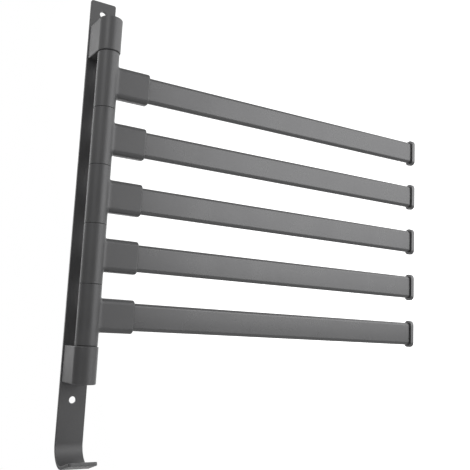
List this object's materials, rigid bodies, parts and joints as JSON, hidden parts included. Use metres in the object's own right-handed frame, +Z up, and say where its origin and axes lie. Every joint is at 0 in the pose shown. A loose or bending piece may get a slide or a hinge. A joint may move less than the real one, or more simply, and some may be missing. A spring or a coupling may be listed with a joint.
{
  "type": "swing arm towel bar",
  "caption": "Wall-mounted towel rack: flat-oval arms swivel one above the other on a vertical pole, clipped to a flat strip whose end is bent into a hook.",
  "frame": {"origin": "midway between the two wall holes, on the back face of the strip", "axes": "+X along the arms at rest, +Y into the wall, +Z up along the strip and the pole"},
  "size_m": [0.3997, 0.0453, 0.4359],
  "materials": {
    "powder_coat": "satin gunmetal-grey powder coat on aluminium, fine texture",
    "steel_shaft": "ground steel rod",
    "steel_screws": "zinc-plated countersunk screws with hexagon sockets",
    "black_plastic": "plain black bearing plastic"
  },
  "bodies": {
    "wall_frame": {"back_strip": "powder_coat", "upper_clip": "powder_coat", "lower_clip": "powder_coat", "upper_clip_screws": "steel_screws", "lower_clip_screws": "steel_screws", "pivot_shaft": "steel_shaft", "upper_shaft_screw": "steel_screws", "lower_shaft_screw": "steel_screws", "upper_washer": "black_plastic", "lower_washer": "black_plastic"},
    "swing_arm_1": {"hub_1": "powder_coat", "hub_liner_1": "black_plastic", "arm_tube_1": "powder_coat", "arm_screw_1": "steel_screws", "end_cap_1": "powder_coat"},
    "swing_arm_2": {"hub_2": "powder_coat", "hub_liner_2": "black_plastic", "arm_tube_2": "powder_coat", "arm_screw_2": "steel_screws", "end_cap_2": "powder_coat"},
    "swing_arm_3": {"hub_3": "powder_coat", "hub_liner_3": "black_plastic", "arm_tube_3": "powder_coat", "arm_screw_3": "steel_screws", "end_cap_3": "powder_coat"},
    "swing_arm_4": {"hub_4": "powder_coat", "hub_liner_4": "black_plastic", "arm_tube_4": "powder_coat", "arm_screw_4": "steel_screws", "end_cap_4": "powder_coat"},
    "swing_arm_5": {"hub_5": "powder_coat", "hub_liner_5": "black_plastic", "arm_tube_5": "powder_coat", "arm_screw_5": "steel_screws", "end_cap_5": "powder_coat"}
  },
  "joints": [
    {"name": "arm_swivel_1", "type": "hinge", "parent": "wall_frame", "child": "swing_arm_1", "pos_m": [0, -0.0283, 0.1076], "axis": [0, 0, -1], "range_deg": [0, 180]},
    {"name": "arm_swivel_2", "type": "hinge", "parent": "wall_frame", "child": "swing_arm_2", "pos_m": [0, -0.0283, 0.0538], "axis": [0, 0, -1], "range_deg": [0, 180]},
    {"name": "arm_swivel_3", "type": "hinge", "parent": "wall_frame", "child": "swing_arm_3", "pos_m": [0, -0.0283, 0], "axis": [0, 0, -1], "range_deg": [0, 180]},
    {"name": "arm_swivel_4", "type": "hinge", "parent": "wall_frame", "child": "swing_arm_4", "pos_m": [0, -0.0283, -0.0538], "axis": [0, 0, -1], "range_deg": [0, 180]},
    {"name": "arm_swivel_5", "type": "hinge", "parent": "wall_frame", "child": "swing_arm_5", "pos_m": [0, -0.0283, -0.1076], "axis": [0, 0, -1], "range_deg": [0, 180]}
  ]
}
